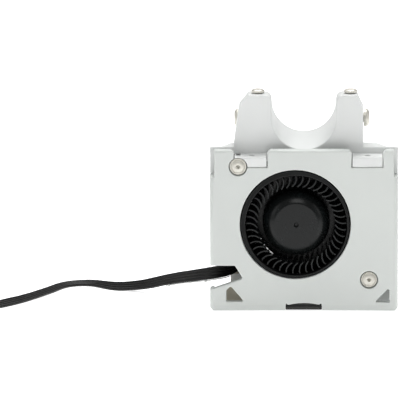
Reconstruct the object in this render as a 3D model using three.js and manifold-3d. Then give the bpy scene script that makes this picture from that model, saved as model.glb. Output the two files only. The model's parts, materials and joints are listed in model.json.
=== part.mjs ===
// Printer hotend carriage: a white moulded body with a bearing saddle on top,
// a 50 mm centrifugal blower behind a screwed front cover, a compact hotend and
// a 30 mm fan at the back, and a flat four-core cable that leaves at the left.
//
// Units are millimetres, +Z is up, the front faces -Y.
// Inside the "carriage" group, Y is the depth behind the front cover's face.
// The origin is the middle of the footprint, on the surface it stands on.

import * as THREE from 'three';
import { mergeVertices, toCreasedNormals } from 'three/addons/utils/BufferGeometryUtils.js';
import Module from 'manifold-3d';

const wasm = await Module();
wasm.setup();

// ---------------------------------------------------------------- dimensions
const GAP = 0.3;                 // clearance between neighbouring pieces

const DEPTH_FRONT = -0.25;       // tabs stand proud of the cover
const DEPTH_BACK = 70.45;        // heads of the rear fan screws
const DEPTH_MID = (DEPTH_FRONT + DEPTH_BACK) / 2;

const COVER_W = 62.6;            // front cover
const COVER_H = 54.6;
const COVER_T = 2.6;
const COVER_HOLE_R = 18.5;
const CORNER_CUT_W = 1.45;       // cut-outs at the cover's two top corners
const CORNER_CUT_Z = 45.3;

const HOLE_X = -2.9;             // opening in the front cover
const HOLE_Z = 29.3;
const FAN_X = -2.6;              // blower axis
const FAN_Z = 28.9;
const BLOWER_D0 = 2.9;
const BLOWER_D1 = 17.9;
const INLET_R = 17.0;
const LIP_R = 18.05;
const LIP_D0 = 0.3;
const IMPELLER_R = 17.2;
const BLADE_R0 = 12.95;
const BLADE_R1 = 16.6;
const BLADE_D0 = 1.5;
const BLADES = 45;
const VOLUTE_R0 = 19.8;
const VOLUTE_R1 = 22.4;
const VOLUTE_A0 = -62;           // tongue
const VOLUTE_A1 = 215;           // start of the outlet
const VOLUTE_WALL = 1.1;
const OUTLET_Z = 7.4;

const SCREW_UL = [-21.9, 48.9];  // cover and blower screws, M3
const SCREW_LR = [21.66, 10.5];

const BODY_D0 = 6.0;             // front plane of the body
const BODY_W = 57.2;             // blower bay
const REAR_W = 49.2;             // rear housing
const BAY_BACK0 = 18.3;
const BAY_BACK1 = 20.3;
const DECK_Z = 54.4;
const DECK_D1 = 13.8;
const REAR_TOP = 46.0;
const REAR_D1 = 56.0;

const SADDLE_R = 10.75;          // 21.5 mm channel for a 12 mm rod's bearing
const SADDLE_Z = 64.4;
const SADDLE_D1 = 38.5;
const EAR_Z = 71.9;
const ARCH_D1 = 14.3;            // the ears belong to a front arch; the trough behind is lower
const TROUGH_Z = 65.2;
const TROUGH_STEP = 27.6;

const HOT_D = 45.0;              // hotend axis, at x = 0

const FAN30_Z = 29.0;            // rear fan, 30 x 30 x 10
const FAN30_D0 = 58.6;
const FAN30_D1 = 68.6;

// ------------------------------------------------------------------- helpers
function solid(geometry) {
  const g = geometry.clone();
  g.deleteAttribute('normal');
  g.deleteAttribute('uv');
  const m = mergeVertices(g, 1e-5);
  const index = m.index.array;
  const keep = [];
  for (let i = 0; i < index.length; i += 3) {
    const [a, b, c] = [index[i], index[i + 1], index[i + 2]];
    if (a !== b && b !== c && c !== a) keep.push(a, b, c);
  }
  return new wasm.Manifold(new wasm.Mesh({
    numProp: 3,
    vertProperties: Float32Array.from(m.attributes.position.array),
    triVerts: Uint32Array.from(keep),
  }));
}

function geometryOf(body) {
  const mesh = body.getMesh();
  const g = new THREE.BufferGeometry();
  g.setAttribute('position', new THREE.BufferAttribute(Float32Array.from(mesh.vertProperties), 3));
  g.setIndex(new THREE.BufferAttribute(Uint32Array.from(mesh.triVerts), 1));
  return toCreasedNormals(g, 0.55);
}

const join = (...list) => list.reduce((a, b) => a.add(b));
const cut = (a, ...list) => list.reduce((s, b) => s.subtract(b), a);

const shapeOf = (points, holes = []) => {
  const s = new THREE.Shape(points.map(([x, y]) => new THREE.Vector2(x, y)));
  for (const h of holes) s.holes.push(new THREE.Path(h.map(([x, y]) => new THREE.Vector2(x, y))));
  return s;
};

const extrude = (points, length, holes) =>
  new THREE.ExtrudeGeometry(shapeOf(points, holes), { depth: length, bevelEnabled: false, steps: 1 });

// outline in x-z, running from depth d0 to d1
function alongY(points, d0, d1, holes) {
  const g = extrude(points, d1 - d0, holes);
  g.rotateX(Math.PI / 2);
  g.translate(0, d1, 0);
  return g;
}
// outline in x-y, running from z0 to z1
function alongZ(points, z0, z1, holes) {
  const g = extrude(points, z1 - z0, holes);
  g.translate(0, 0, z0);
  return g;
}
// outline in y-z, running from x0 to x1
function alongX(points, x0, x1, holes) {
  const g = extrude(points, x1 - x0, holes);
  g.applyMatrix4(new THREE.Matrix4().makeBasis(
    new THREE.Vector3(0, 1, 0), new THREE.Vector3(0, 0, 1), new THREE.Vector3(1, 0, 0)));
  g.translate(x0, 0, 0);
  return g;
}
const boxG = (x0, x1, y0, y1, z0, z1) =>
  new THREE.BoxGeometry(x1 - x0, y1 - y0, z1 - z0)
    .translate((x0 + x1) / 2, (y0 + y1) / 2, (z0 + z1) / 2);
const box = (...a) => solid(boxG(...a));

const cylY = (x, z, r, d0, d1, n = 24) =>
  new THREE.CylinderGeometry(r, r, d1 - d0, n).translate(x, (d0 + d1) / 2, z);
const cylZ = (x, y, r, z0, z1, n = 24) =>
  new THREE.CylinderGeometry(r, r, z1 - z0, n).rotateX(Math.PI / 2).translate(x, y, (z0 + z1) / 2);
const cylX = (y, z, r, x0, x1, n = 24) =>
  new THREE.CylinderGeometry(r, r, x1 - x0, n).rotateZ(Math.PI / 2).translate((x0 + x1) / 2, y, z);

const arc = (cx, cy, r, a0, a1, n) => Array.from({ length: n + 1 }, (_, i) => {
  const a = THREE.MathUtils.degToRad(a0 + (a1 - a0) * i / n);
  return [cx + r * Math.cos(a), cy + r * Math.sin(a)];
});
const circle = (cx, cy, r, n) => arc(cx, cy, r, 0, 360, n).slice(0, n);
const rect = (x0, x1, y0, y1) => [[x0, y0], [x1, y0], [x1, y1], [x0, y1]];

// a turned piece; profile is [radius, height] and runs round the section
// clockwise or from axis to axis, height becomes depth or z
function turned(profile, n) {
  const g = new THREE.LatheGeometry(profile.map(([r, h]) => new THREE.Vector2(r, h)), n);
  return g;
}
const ring = (r0, r1, h0, h1) => [[r0, h0], [r1, h0], [r1, h1], [r0, h1], [r0, h0]];
const turnedY = (profile, n, x, z) => turned(profile, n).translate(x, 0, z);
const turnedZ = (profile, n, x, y) => turned(profile, n).rotateX(Math.PI / 2).translate(x, y, 0);

// outline of the scroll about the blower axis: grows counter-clockwise from
// the tongue, then runs straight down to the outlet
function scroll(offset, n, bottom) {
  const pts = [];
  for (let i = 0; i <= n; i++) {
    const t = i / n;
    const a = THREE.MathUtils.degToRad(VOLUTE_A0 + (VOLUTE_A1 - VOLUTE_A0) * t);
    const r = VOLUTE_R0 + (VOLUTE_R1 - VOLUTE_R0) * t + offset;
    pts.push([r * Math.cos(a), r * Math.sin(a)]);
  }
  const [ex, ez] = pts[pts.length - 1];
  const a = THREE.MathUtils.degToRad(VOLUTE_A1);
  const k = (bottom - ez) / Math.cos(a);
  pts.push([ex - Math.sin(a) * k, bottom]);
  pts.push([8.4 + offset, bottom]);
  return pts;
}
const finishes = {
  body: [0xd3d5d1, 0.5, 0.0],
  cover: [0xd6d8d4, 0.5, 0.0],
  black: [0x1d1d1f, 0.45, 0.0],
  duct: [0x232324, 0.6, 0.0],
  steel: [0xb9b3a4, 0.35, 1.0],
  darksteel: [0x4c4a48, 0.45, 1.0],
  brass: [0xb08d4a, 0.35, 1.0],
  bronze: [0x9a6f42, 0.45, 1.0],
  alu: [0xb4b7ba, 0.4, 1.0],
  copper: [0x8a4a2a, 0.5, 0.6],
  pcb: [0x20563a, 0.55, 0.0],
  socket: [0xe6e1d2, 0.5, 0.0],
  silicone: [0x2d5f93, 0.8, 0.0],
  ptfe: [0xf2f2ee, 0.4, 0.0],
  collet: [0x202020, 0.5, 0.0],
  cable: [0x2b2c2b, 0.55, 0.0],
};

const carriage = new THREE.Group();
carriage.name = 'carriage';
carriage.position.set(0, -DEPTH_MID, 0);

function place(parent, name, shape, finish) {
  const geometry = shape.isBufferGeometry ? shape : geometryOf(shape);
  const [color, roughness, metalness] = finishes[finish];
  const mesh = new THREE.Mesh(geometry, new THREE.MeshStandardMaterial({ color, roughness, metalness }));
  mesh.name = name;
  parent.add(mesh);
  return mesh;
}
const group = (parent, x, y, z) => {
  const g = new THREE.Group();
  g.position.set(x, y, z);
  parent.add(g);
  return g;
};

// --------------------------------------------------------------- front cover
{
  const W = COVER_W / 2;
  const c = 0.9;
  const outline = [
    [-W + 1.0, 0], [-6.3, 0], [-6.0, 2.5],
    ...arc(0, -18.7, 21.3, 104.5, 76.5, 6).map(([x, z]) => [x, z]),
    [5.8, 2.5], [6.1, 0], [W - 1.0, 0], [W, 1.0],
    [W, CORNER_CUT_Z], [W - CORNER_CUT_W, CORNER_CUT_Z], [W - CORNER_CUT_W, COVER_H],
    [26.3 + c, COVER_H], [26.3, COVER_H - c], [26.3, 48.6], [15.8, 48.6], [15.8, COVER_H - c], [15.8 - c, COVER_H],
    [-12.15 + c, COVER_H], [-12.15, COVER_H - c], [-12.15, 48.6], [-23.35, 48.6], [-23.35, COVER_H - c], [-23.35 - c, COVER_H],
    [-W + CORNER_CUT_W, COVER_H], [-W + CORNER_CUT_W, CORNER_CUT_Z], [-W, CORNER_CUT_Z],
    [-W, 15.3], [-23.0, 15.3], [-20.6, 11.3], [-20.8, 10.7], [-W, 7.1], [-W, 1.0],
  ];
  const windowL = [[-25.9, 3.05], [-20.6, 3.05], [-20.4, 3.6], [-24.1, 8.0], [-24.8, 8.1], [-25.9, 6.9]];
  const windowR = [[24.0, 2.9], [28.3, 2.8], [28.6, 3.1], [28.6, 6.9], [27.9, 7.4], [24.0, 3.4]];
  let plate = solid(alongY(outline, 0, COVER_T));
  plate = cut(plate,
    solid(cylY(HOLE_X, HOLE_Z, COVER_HOLE_R, -1, COVER_T + 1, 52)),
    solid(alongY(windowL, -1, COVER_T + 1)),
    solid(alongY(windowR, -1, COVER_T + 1)),
    solid(cylY(...SCREW_UL, 3.1, -1, 2.0, 28)), solid(cylY(...SCREW_UL, 1.85, -1, COVER_T + 1, 20)),
    solid(cylY(...SCREW_LR, 3.0, -1, 2.0, 28)), solid(cylY(...SCREW_LR, 1.85, -1, COVER_T + 1, 20)));
  const rimZ1 = CORNER_CUT_Z;
  plate = join(plate,
    box(W - 1.45, W, COVER_T - 0.5, 9.0, 1.0, rimZ1),
    box(-W, -W + 1.45, COVER_T - 0.5, 9.0, 15.3, rimZ1),
    solid(alongY([[-W, 1.0], [-W + 1.45, 1.0], [-W + 1.45, 7.6], [-W, 7.1]], COVER_T - 0.5, 5.4)));
  place(carriage, 'front_cover', plate, 'cover');
}

// -------------------------------------------------------------- carriage body
const ductPlan = [[-17.0, 3.2], [7.0, 3.2], [7.0, 19.0], [8.0, 27.0], [7.0, 33.0], [-7.0, 33.0], [-8.0, 27.0], [-17.0, 19.0]];
{
  const B = BODY_W / 2;
  const R = REAR_W / 2;
  const bay = box(-B, B, BODY_D0, BAY_BACK1, 0, 51.0);
  const deck = solid(alongZ([[-B, BODY_D0], [B, BODY_D0], [R, DECK_D1], [-R, DECK_D1]], 45.0, DECK_Z));
  const flangeR = box(B - 1, COVER_W / 2, BODY_D0, 7.5, CORNER_CUT_Z + GAP, DECK_Z);
  const flangeL = box(-COVER_W / 2, -B + 1, BODY_D0, 7.5, CORNER_CUT_Z + GAP, DECK_Z);
  const rear = box(-R, R, BAY_BACK1 - 1, REAR_D1, 0, REAR_TOP);
  const saddle = solid(alongY([
    [-23.6, 45.0], [19.7, 45.0], [19.7, 67.5], [17.6, EAR_Z],
    ...arc(12.7, 69.9, 2.0, 90, 180, 4),
    ...arc(-0.05, SADDLE_Z, SADDLE_R, 0, -180, 28),
    ...arc(-12.8, 69.9, 2.0, 0, 90, 4),
    [-18.4, EAR_Z], [-21.6, 68.0], [-23.6, 53.6],
  ], BODY_D0, ARCH_D1));
  const trough = join(solid(alongY([
    [-23.6, 45.0], [19.7, 45.0], [19.7, 63.05], [18.67, TROUGH_Z], [-20.25, TROUGH_Z], [-21.6, 63.55], [-23.6, 49.15],
  ], BODY_D0, TROUGH_STEP)), solid(alongY([
    [-23.6, 45.0], [19.7, 45.0], [19.7, 60.5], [17.6, TROUGH_Z], [-18.4, TROUGH_Z], [-21.6, 61.3], [-23.6, 46.9],
  ], TROUGH_STEP - 1, SADDLE_D1)));
  const channel = solid(alongY([
    ...arc(-0.05, SADDLE_Z, SADDLE_R, -180, 0, 28), [10.7, 80], [-10.8, 80],
  ], BODY_D0 - 1, SADDLE_D1 + 1));
  let body = join(bay, deck, flangeR, flangeL, rear, saddle, trough);
  body = cut(body, channel);

  // blower bay, open to the front
  body = cut(body,
    box(-27.2, 27.2, BODY_D0 - 1, BAY_BACK0, 1.6, 44.0),
    solid(alongY(scroll(VOLUTE_WALL + 0.45, 32, -20).map(([x, z]) => [x + FAN_X, z + FAN_Z]), BODY_D0 - 1, BAY_BACK0)),
    solid(cylY(...SCREW_UL, 3.5, BODY_D0 - 1, 12.3, 28)),
    solid(alongY([[SCREW_UL[0] + 3.5, SCREW_UL[1] - 0.2], [FAN_X - 12, FAN_Z + 17], [FAN_X - 17, FAN_Z + 12.5], [SCREW_UL[0] - 0.2, SCREW_UL[1] - 3.5]], BODY_D0 - 1, 12.3)),
    box(-30, -R, BODY_D0 - 1, BAY_BACK1 + 0.1, 1.6, 15.8));
  body = join(body,
    solid(cylY(...SCREW_LR, 3.3, 12.3, BAY_BACK0 + 1, 24)),
    solid(alongY([[-28.6, 0], [-28.6, 6.3], [-21.6, 8.7], [-21.6, 6.8], [-18.9, 6.8], [-18.9, 0]], BODY_D0, 8.0)),
    solid(alongY([[18.9, 0], [28.6, 0], [28.6, 6.3], [24.0, 6.8], [18.9, 6.8]], BODY_D0, 8.0)));

  // hotend chamber, open to the back and underneath
  body = cut(body,
    box(-22.6, 22.6, BAY_BACK1, REAR_D1 + 1, 2.0, 44.0),
    box(-11.5, 11.5, 28.0, 54.0, -1, 2.5));
  const shelf = cut(box(-14, 14, BAY_BACK1 - 1, HOT_D, 36.4, 41.0),
    solid(cylZ(0, HOT_D, 6.3, 30, 42, 32)));
  const bosses = [[-19.6, 5.2], [19.6, 5.2], [-19.6, 40.8], [19.6, 40.8]]
    .map(([x, z]) => solid(alongY(rect(Math.min(x, Math.sign(x) * 23.2), Math.max(x, Math.sign(x) * 23.2) , z - 3.2, z + 3.2), 49, REAR_D1)))
    .concat([[-19.6, 5.2], [19.6, 5.2], [-19.6, 40.8], [19.6, 40.8]].map(([x, z]) => solid(cylY(x, z, 3.2, 49, REAR_D1, 20))));
  const posts = [[33.0, 8.2], [37.0, 28.0]].map(([y, z]) => solid(cylX(y, z, 2.4, -23.2, -19.0, 16)));
  body = join(body, shelf, ...bosses, ...posts);
  for (const [x, z] of [[-19.6, 5.2], [19.6, 5.2], [-19.6, 40.8], [19.6, 40.8]])
    body = cut(body, solid(cylY(x, z, 1.6, 50, REAR_D1 + 1, 14)));
  for (const [y, z] of [[33.0, 8.2], [37.0, 28.0]])
    body = cut(body, solid(cylX(y, z, 1.3, -22.9, -18, 12)));
  for (const x of [-10.5, 10.5])
    body = cut(body, solid(cylY(x, 38.7, 1.6, 34, 46, 14)));

  // passages: duct, cable, tube fitting, cover screws, side vents
  const ductWay = [[-17.4, 2], [7.4, 2], [7.4, 19.0], [8.4, 27.0], [7.4, 34], [-7.4, 34], [-8.4, 27.2], [-17.4, 19.2]];
  body = cut(body,
    solid(alongZ(ductWay, -1, 7.5)),
    box(-24.7, -18.9, BAY_BACK0 - 1, BAY_BACK1 + 1.2, 8.9, 16.6),
    solid(cylZ(0, HOT_D, 5.7, 43, 47, 28)),
    solid(cylY(...SCREW_UL, 1.85, 10, 23.0, 20)),
    solid(cylY(...SCREW_LR, 1.85, 10, 23.0, 20)));
  for (const x of [-27, 22])
    for (const d of [31, 36.5, 42, 47.5])
      body = cut(body, box(x, x + 5, d - 1.25, d + 1.25, 20.0, 33.0));

  // tabs that reach over the cover, each with a small upright hole
  const tabs = [[-23.05, -12.45, -17.35], [16.1, 26.0, 21.1]].map(([x0, x1, h]) =>
    cut(solid(alongX([[DEPTH_FRONT, 49.0], [DEPTH_FRONT + 0.1, 48.9], [7.0, 48.9], [7.0, 52.3], [DEPTH_FRONT + 0.35, 52.3], [DEPTH_FRONT, 51.95]], x0, x1)),
      solid(cylZ(h, 2.9, 1.0, 48, 53, 16))));
  body = join(body, ...tabs);
  body = cut(body, solid(cylY(...SCREW_UL, 3.1, -1, 3.0, 28)));
  // seat under the blower's upper ear stays open below the tab
  body = cut(body, solid(cylY(...SCREW_UL, 3.5, 2.6, 7.2, 28)),
    solid(alongY(scroll(VOLUTE_WALL + 0.4, 28, -20).map(([x, z]) => [x + FAN_X, z + FAN_Z]), 2.6, 7.2)),
    solid(alongY([[SCREW_UL[0] + 3.5, SCREW_UL[1] - 0.2], [FAN_X - 12, FAN_Z + 17], [FAN_X - 17, FAN_Z + 12.5], [SCREW_UL[0] - 0.2, SCREW_UL[1] - 3.5]], 2.6, 7.2)));

  // ear screws: blind holes from both sides and from the top
  body = cut(body,
    solid(cylX(22.8, 61.2, 1.85, 12.0, 21, 20)),
    solid(cylX(22.8, 61.2, 1.85, -22.4, -13.0, 20)),
    solid(cylX(22.8, 61.2, 3.4, -25, -21.1, 24)),
    solid(cylZ(-15.35, 10.4, 1.35, 64.0, 73, 16)),
    solid(cylZ(15.5, 10.4, 1.35, 64.0, 73, 16)));
  place(carriage, 'carriage_body', body, 'body');
}

// -------------------------------------------------------------------- screws
// a pan-head screw along -Z with a cross recess; the head's underside is at 0
function panScrew(headR, headH, shankR, length, recess = 0.3) {
  const p = [[0, -length], [shankR, -length], [shankR, 0], [headR, 0],
    [headR, headH * 0.5], [headR * 0.75, headH], [0, headH]];
  const blank = solid(turned(p, 14).rotateX(Math.PI / 2));
  const w = headR * 0.1, l = headR * recess;
  return cut(blank, box(-l, l, -w, w, headH - 0.6, headH + 1), box(-w, w, -l, l, headH - 0.6, headH + 1));
}
// a socket-head screw along -Z; the head's underside is at 0
function socketScrew(headR, headH, shankR, length) {
  const p = [[0, -length], [shankR, -length], [shankR, 0], [headR, 0],
    [headR, headH * 0.6], [headR * 0.8, headH], [0, headH]];
  const blank = solid(turned(p, 14).rotateX(Math.PI / 2));
  return cut(blank, solid(new THREE.CylinderGeometry(headR * 0.42, headR * 0.42, 2.4, 6).rotateX(Math.PI / 2).translate(0, 0, headH)));
}
function fasten(parent, name, geometry, [x, y, z], direction, finish) {
  const mesh = place(parent, name, geometry, finish);
  mesh.position.set(x, y, z);
  const turns = { front: [Math.PI / 2, 0, 0], back: [-Math.PI / 2, 0, 0], up: [0, 0, 0], right: [0, Math.PI / 2, 0], left: [0, -Math.PI / 2, 0] };
  mesh.rotation.set(...turns[direction]);
  return mesh;
}
fasten(carriage, 'cover_screw_upper', panScrew(2.75, 1.5, 1.5, 19.5), [SCREW_UL[0], 1.7, SCREW_UL[1]], 'front', 'steel');
fasten(carriage, 'cover_screw_lower', panScrew(2.6, 1.5, 1.5, 19.5), [SCREW_LR[0], 1.7, SCREW_LR[1]], 'front', 'steel');
fasten(carriage, 'ear_side_screw_right', socketScrew(3.0, 1.9, 1.5, 7.5), [20.0, 22.8, 61.2], 'right', 'steel');
fasten(carriage, 'ear_side_screw_left', socketScrew(3.0, 1.9, 1.5, 7.5), [-21.42, 22.8, 61.2], 'left', 'steel');
fasten(carriage, 'ear_top_screw_left', panScrew(2.2, 1.15, 1.0, 7.0), [-15.35, 10.4, EAR_Z + GAP - 0.05], 'up', 'steel');
fasten(carriage, 'ear_top_screw_right', panScrew(2.2, 1.15, 1.0, 7.0), [15.5, 10.4, EAR_Z + GAP - 0.05], 'up', 'steel');

// -------------------------------------------------------------------- blower
const blower = group(carriage, FAN_X, 0, FAN_Z);
{
  const zb = OUTLET_Z - FAN_Z;
  const outer = scroll(VOLUTE_WALL, 32, zb);
  const inner = scroll(0, 32, zb - 1.5);
  const ul = [SCREW_UL[0] - FAN_X, SCREW_UL[1] - FAN_Z];
  const lr = [SCREW_LR[0] - FAN_X, SCREW_LR[1] - FAN_Z];
  const shell0 = BLOWER_D0, shell1 = 15.5;
  let shell = solid(alongY(outer, shell0, shell1));
  const lugU = join(solid(cylY(...ul, 3.1, shell0, 12.0, 20)), solid(alongY([[ul[0] + 3.0, ul[1] - 0.8], [-13, 16.5], [-16, 13.5], [ul[0] - 0.8, ul[1] - 3.0]], shell0, 12.0)));
  const lugL = join(solid(cylY(...lr, 3.1, shell0, 12.0, 20)), solid(alongY([[lr[0] - 0.6, lr[1] - 3.0], [lr[0] + 0.9, lr[1] + 2.9], [17, -9], [12, -15.6]], shell0, 12.0)));
  shell = join(shell, lugU, lugL);
  shell = cut(shell,
    solid(alongY(inner, shell0 + 1.2, shell1 + 1)),
    solid(cylY(0, 0, INLET_R, 0, 6, 48)),
    solid(cylY(...ul, 1.85, 0, 14, 16)),
    solid(cylY(...lr, 1.85, 0, 14, 16)));
  // a collar stands in the cover's opening, concentric with it; its bore is the inlet
  const collar = cut(solid(cylY(HOLE_X - FAN_X, HOLE_Z - FAN_Z, LIP_R, LIP_D0, BLOWER_D0 + 0.4, 48)),
    solid(cylY(0, 0, INLET_R, -1, 6, 48)));
  shell = join(shell, collar);
  place(blower, 'blower_casing', shell, 'black');

  let back = solid(alongY(outer, shell1 + GAP, BLOWER_D1));
  back = join(back, solid(cylY(0, 0, 3.6, 9.0, shell1 + 1, 20)));
  back = cut(back, solid(cylY(0, 0, 2.5, 8.0, 17.2, 20)));
  place(blower, 'blower_back_plate', back, 'black');

  // impeller: cup-shaped hub, back disc, forward-curved blades hooked at their inner ends
  const hub = solid(turnedY([
    [0, 1.45], [7.3, 1.45], [8.6, 2.1], [10.3, 4.0], [11.2, 6.6],
    [11.2, 13.4], [IMPELLER_R, 13.4], [IMPELLER_R, 14.5], [8.6, 14.5], [8.6, 3.6],
    [2.3, 3.6], [2.3, 6.4], [1.3, 6.4], [1.3, 3.6], [0, 3.6],
  ], 28, 0, 0));
  // [share of the radius range, angle in degrees; the hollow side faces outwards]
  const bladeLine = [[0, 6.3], [0.16, 3.6], [0.36, 1.3], [0.62, 0.2], [0.82, 0.1], [1, 0.8]];
  const blade = (angle) => {
    const t = 0.5;
    const mid = bladeLine.map(([u, a]) => [BLADE_R0 + (BLADE_R1 - BLADE_R0) * u, angle + THREE.MathUtils.degToRad(a)]);
    const at = mid.map(([r, a]) => [r * Math.cos(a), r * Math.sin(a)]);
    const side = (sign) => at.map(([x, y], i) => {
      const [px, py] = at[Math.max(i - 1, 0)];
      const [qx, qy] = at[Math.min(i + 1, at.length - 1)];
      const l = Math.hypot(qx - px, qy - py);
      return [x - sign * (qy - py) / l * t / 2, y + sign * (qx - px) / l * t / 2];
    });
    return solid(alongY([...side(-1), ...side(1).reverse()], BLADE_D0, 13.6));
  };
  let impeller = hub;
  for (let i = 0; i < BLADES; i++) impeller = impeller.add(blade(i * 2 * Math.PI / BLADES));
  place(blower, 'impeller', impeller, 'black');

  place(blower, 'blower_shaft', cylY(0, 0, 1.0, 4.0, 16.9, 16), 'steel');
  place(blower, 'blower_bearing', turnedY(ring(1.3, 2.2, 9.4, 16.6), 20, 0, 0), 'bronze');
  let coil = solid(turnedY(ring(3.95, 5.2, 8.2, 13.2), 24, 0, 0));
  for (let i = 0; i < 4; i++) {
    const a = i * Math.PI / 2;
    const pole = new THREE.BoxGeometry(3.4, 4.2, 4.6).translate(6.0, 10.7, 0).rotateY(a);
    coil = coil.add(solid(pole));
  }
  place(blower, 'blower_coil', coil, 'copper');
  place(blower, 'blower_circuit_board', turnedY(ring(3.95, 8.2, 13.5, 14.6), 24, 0, 0), 'pcb');
}

// air duct under the blower's outlet, leading back to the nozzle
{
  let duct = solid(alongZ(ductPlan, 0.4, 7.1));
  const inside = [[-15.8, 4.4], [5.8, 4.4], [5.8, 19.0], [6.8, 27.0], [5.9, 35.0], [-5.9, 35.0], [-6.9, 27.6], [-15.8, 19.4]];
  duct = cut(duct, solid(alongZ(inside, 1.5, 5.9)), box(-15.2, 5.2, 4.9, 15.5, 5.0, 8.0));
  place(carriage, 'air_duct', duct, 'duct');
}

// -------------------------------------------------------------------- hotend
const hotend = group(carriage, 0, HOT_D, 0);
{
  const fins = [];
  fins.push([3.8, 20.0]);
  for (let i = 0; i < 5; i++) {
    const z = 20.0 + i * 3.0;
    if (i > 0) fins.push([4.9, z]);
    fins.push([9.0, z], [9.0, z + 1.3]);
    fins.push([4.9, z + 1.3]);
  }
  const sink = solid(turnedZ([
    [3.8, 20.0], ...fins.slice(1),
    [4.9, 34.0], [8.0, 34.0], [8.0, 36.1], [6.0, 36.1], [6.0, 41.3], [8.0, 41.3], [8.0, 43.4], [3.35, 43.4],
    [3.35, 38.4], [2.3, 38.4], [2.3, 34.4], [3.8, 34.4], [3.8, 20.0],
  ], 18, 0, 0));
  place(hotend, 'heatsink', sink, 'alu');

  place(hotend, 'heat_break', turnedZ([
    [1.05, 12.1], [2.9, 12.1], [2.9, 17.6], [1.7, 17.8], [1.7, 20.3], [3.5, 20.5], [3.5, 34.0], [1.05, 34.0], [1.05, 12.1],
  ], 16, 0, 0), 'steel');

  let block = box(-8, 8, -7, 7, 6.6, 17.4);
  block = cut(block,
    solid(cylZ(0, 0, 3.3, 5, 19, 24)),
    solid(cylY(5.0, 14.0, 1.8, -8, 8, 16)),
    solid(alongX(circle(-4.4 - 1.0, 10.4, 1.4, 12).map(([a, b]) => [a, b]), -9, 9)));
  place(hotend, 'heater_block', block, 'alu');

  place(hotend, 'heater_cartridge', cylY(5.0, 14.0, 1.5, -8.5, 8.5, 16), 'steel');
  place(hotend, 'thermistor', cylX(-5.4, 10.4, 1.05, -3.0, 8.4, 12), 'steel');

  let sock = cut(box(-9.3, 9.3, -8.3, 8.3, 5.1, 15.8), box(-8.3, 8.3, -7.3, 7.3, 6.3, 17));
  sock = cut(sock,
    solid(cylZ(0, 0, 4.6, 4, 8, 24)),
    solid(cylY(5.0, 14.0, 2.1, -10, 10, 16)),
    box(2.9, 7.1, -10, 10, 14.0, 17),
    solid(cylX(-5.4, 10.4, 1.5, 8, 10, 12)));
  place(hotend, 'silicone_sock', sock, 'silicone');

  const hex = solid(new THREE.CylinderGeometry(4.04, 4.04, 2.8, 6).rotateX(Math.PI / 2).translate(0, 0, 4.7));
  const stem = solid(turnedZ([
    [0.3, 0.5], [0.9, 0.5], [2.9, 3.4], [2.9, 11.7], [1.05, 11.7], [1.05, 2.6], [0.3, 1.4], [0.3, 0.5],
  ], 14, 0, 0));
  place(hotend, 'nozzle', join(stem, cut(hex, solid(cylZ(0, 0, 2.2, 2, 8, 12)))), 'brass');

  const hexC = cut(solid(new THREE.CylinderGeometry(5.2, 5.2, 3.4, 6).rotateX(Math.PI / 2).translate(0, 0, 45.5)),
    solid(cylZ(0, 0, 2.35, 40, 50, 20)), solid(cylZ(0, 0, 3.4, 45.2, 48, 20)));
  const threadC = solid(turnedZ(ring(2.35, 3.0, 38.8, 44.2), 20, 0, 0));
  place(hotend, 'coupler_body', join(hexC, threadC), 'brass');

  place(hotend, 'coupler_collet', turnedZ([
    [2.35, 46.4], [3.05, 46.4], [3.05, 48.1], [4.2, 48.1], [4.2, 49.3], [2.35, 49.3], [2.35, 46.4],
  ], 20, 0, 0), 'collet');
  place(hotend, 'filament_liner', turnedZ(ring(1.0, 2.0, 34.3, 48.6), 16, 0, 0), 'ptfe');
}

// clamp that closes the heatsink's groove from behind
{
  const clamp = cut(box(-14, 14, HOT_D + GAP, 52.5, 36.4, 41.0),
    solid(cylZ(0, HOT_D, 6.3, 30, 42, 32)),
    solid(cylY(-10.5, 38.7, 1.8, 40, 60, 14)), solid(cylY(10.5, 38.7, 1.8, 40, 60, 14)));
  place(carriage, 'hotend_clamp', clamp, 'body');
  fasten(carriage, 'clamp_screw_left', socketScrew(2.6, 1.9, 1.3, 15.0), [-10.5, 52.8, 38.7], 'back', 'darksteel');
  fasten(carriage, 'clamp_screw_right', socketScrew(2.6, 1.9, 1.3, 15.0), [10.5, 52.8, 38.7], 'back', 'darksteel');
}

// ------------------------------------------------------- rear cover and fan
{
  let lid = solid(alongY([
    [-24.6 + 1.5, 0.2], [24.6 - 1.5, 0.2], [24.6, 1.7], [24.6, 44.3], [23.1, 45.8], [-23.1, 45.8], [-24.6, 44.3], [-24.6, 1.7],
  ], REAR_D1 + GAP, 58.3, [circle(0, FAN30_Z, 13.6, 28)]));
  for (const [x, z] of [[-19.6, 5.2], [19.6, 5.2], [-19.6, 40.8], [19.6, 40.8]])
    lid = cut(lid, solid(cylY(x, z, 1.8, 50, 60, 14)));
  for (const x of [-12, 12]) for (const z of [-12, 12])
    lid = cut(lid, solid(cylY(x, FAN30_Z + z, 1.45, 50, 60, 12)));
  place(carriage, 'rear_cover', lid, 'body');
  const names = { '-1,-1': 'lower_left', '1,-1': 'lower_right', '-1,1': 'upper_left', '1,1': 'upper_right' };
  for (const sx of [-1, 1]) for (const sz of [-1, 1])
    fasten(carriage, `rear_cover_screw_${names[`${sx},${sz}`]}`, socketScrew(2.6, 1.6, 1.3, 7.5),
      [sx * 19.6, 58.6, sz < 0 ? 5.2 : 40.8], 'back', 'darksteel');
}
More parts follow.
